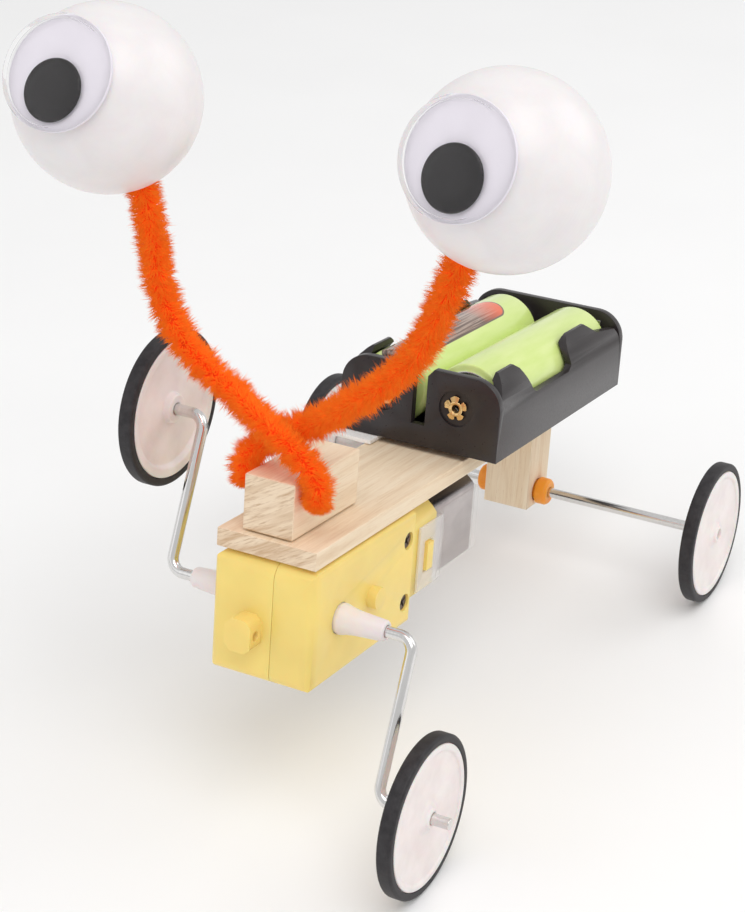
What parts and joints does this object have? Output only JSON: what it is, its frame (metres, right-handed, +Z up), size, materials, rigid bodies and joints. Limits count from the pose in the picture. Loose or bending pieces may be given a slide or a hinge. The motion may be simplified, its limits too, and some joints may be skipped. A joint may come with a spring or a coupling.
{
  "type": "wire-crank robot car",
  "caption": "Small educational robot car: geared motor under a wooden plank turns wire cranks with wheels, a rear axle rolls free, and googly eyes stand on fuzzy stems.",
  "frame": {"origin": "on the floor, below the middle of the overall box", "axes": "+Z up, front of the car and both eyes towards -Y, +X towards the side whose crank points down (the car's own left side)"},
  "size_m": [0.1, 0.134, 0.1397],
  "materials": {
    "bare_wood": "bare, sanded",
    "foam_tape": "white foam",
    "yellow_plastic": "satin moulded",
    "bright_steel": "bright drawn wire",
    "motor_steel": "plated, satin",
    "black_plastic": "semi-gloss moulded",
    "magnet_ferrite": "sintered",
    "brass_metal": "bright stamped",
    "clear_strap": "clear moulded",
    "cell_wrap": "shiny printed wrap",
    "orange_plastic": "satin moulded",
    "chenille": "cut pile",
    "ball_plastic": "soft gloss",
    "eye_card": "smooth",
    "clear_dome": "clear",
    "pupil_black": "smooth",
    "white_nylon": "satin nylon",
    "milky_plastic": "milky",
    "tyre_rubber": "matt black rubber"
  },
  "bodies": {
    "chassis": {"deck_plank": "bare_wood", "neck_block": "bare_wood", "axle_block": "bare_wood", "battery_tape": "foam_tape", "gearbox_left": "yellow_plastic", "gearbox_right": "yellow_plastic", "gear_pin": "bright_steel", "screw_upper": "bright_steel", "screw_lower": "bright_steel", "motor_can": "motor_steel", "motor_end_bell": "black_plastic", "magnet_upper": "magnet_ferrite", "magnet_lower": "magnet_ferrite", "terminal_upper": "brass_metal", "terminal_lower": "brass_metal", "motor_strap": "clear_strap", "battery_box": "black_plastic", "left_cell": "cell_wrap", "right_cell": "cell_wrap", "left_contact_spring": "bright_steel", "right_contact_spring": "bright_steel", "left_contact_leaf": "bright_steel", "right_contact_leaf": "bright_steel", "left_rivet": "brass_metal", "right_rivet": "brass_metal", "left_bush": "orange_plastic", "right_bush": "orange_plastic", "left_stem": "chenille", "right_stem": "chenille", "left_eyeball": "ball_plastic", "right_eyeball": "ball_plastic", "left_eye_back": "eye_card", "right_eye_back": "eye_card", "left_eye_dome": "clear_dome", "right_eye_dome": "clear_dome"},
    "crank_drive": {"output_shaft": "white_nylon", "left_shaft_end": "white_nylon", "right_shaft_end": "white_nylon", "output_gear": "white_nylon", "left_crank": "bright_steel", "right_crank": "bright_steel"},
    "third_gear_set": {"third_gear": "white_nylon"},
    "second_gear_set": {"second_gear": "white_nylon"},
    "first_gear_set": {"first_gear": "white_nylon"},
    "motor_rotor": {"motor_shaft": "bright_steel", "rotor_core": "bright_steel", "commutator": "brass_metal", "motor_pinion": "white_nylon"},
    "left_front_wheel": {"left_front_wheel_disc": "milky_plastic", "left_front_wheel_tyre": "tyre_rubber"},
    "right_front_wheel": {"right_front_wheel_disc": "milky_plastic", "right_front_wheel_tyre": "tyre_rubber"},
    "rear_wheels": {"rear_axle": "bright_steel", "left_rear_wheel_disc": "milky_plastic", "left_rear_wheel_tyre": "tyre_rubber", "right_rear_wheel_disc": "milky_plastic", "right_rear_wheel_tyre": "tyre_rubber"},
    "left_loose_pupil": {"left_pupil": "pupil_black"},
    "right_loose_pupil": {"right_pupil": "pupil_black"}
  },
  "joints": [
    {"name": "output_spin", "type": "hinge", "parent": "chassis", "child": "crank_drive", "pos_m": [-0.00447, -0.03924, 0.03757], "axis": [1, 0, 0], "continuous": true},
    {"name": "third_gear_spin", "type": "hinge", "parent": "chassis", "child": "third_gear_set", "pos_m": [-0.00447, -0.02842, 0.03558], "axis": [1, 0, 0], "continuous": true},
    {"name": "second_gear_spin", "type": "hinge", "parent": "chassis", "child": "second_gear_set", "pos_m": [-0.00447, -0.03924, 0.03757], "axis": [1, 0, 0], "continuous": true},
    {"name": "first_gear_spin", "type": "hinge", "parent": "chassis", "child": "first_gear_set", "pos_m": [-0.00447, -0.02842, 0.03558], "axis": [1, 0, 0], "continuous": true},
    {"name": "rotor_spin", "type": "hinge", "parent": "chassis", "child": "motor_rotor", "pos_m": [-0.00447, -0.00974, 0.03214], "axis": [0, 0.9835, -0.181], "continuous": true},
    {"name": "left_front_wheel_spin", "type": "hinge", "parent": "crank_drive", "child": "left_front_wheel", "pos_m": [-0.03547, -0.02547, 0.06114], "axis": [1, 0, 0], "continuous": true},
    {"name": "right_front_wheel_spin", "type": "hinge", "parent": "crank_drive", "child": "right_front_wheel", "pos_m": [0.02753, -0.05302, 0.014], "axis": [1, 0, 0], "continuous": true},
    {"name": "rear_axle_spin", "type": "hinge", "parent": "chassis", "child": "rear_wheels", "pos_m": [-0.00447, 0.05078, 0.014], "axis": [1, 0, 0], "continuous": true},
    {"name": "left_pupil_slide", "type": "hinge", "parent": "chassis", "child": "left_loose_pupil", "pos_m": [-0.03248, -0.05219, 0.13129], "axis": [0.008, -0.8362, 0.5483], "continuous": true},
    {"name": "right_pupil_slide", "type": "hinge", "parent": "chassis", "child": "right_loose_pupil", "pos_m": [0.03365, -0.05073, 0.12848], "axis": [-0.097, -0.8982, 0.4287], "continuous": true}
  ],
  "couplings": [
    {"joint": "third_gear_spin", "follows": "output_spin", "ratio": -2},
    {"joint": "second_gear_spin", "follows": "output_spin", "ratio": 6},
    {"joint": "first_gear_spin", "follows": "output_spin", "ratio": -12},
    {"joint": "rotor_spin", "follows": "output_spin", "ratio": 48}
  ]
}
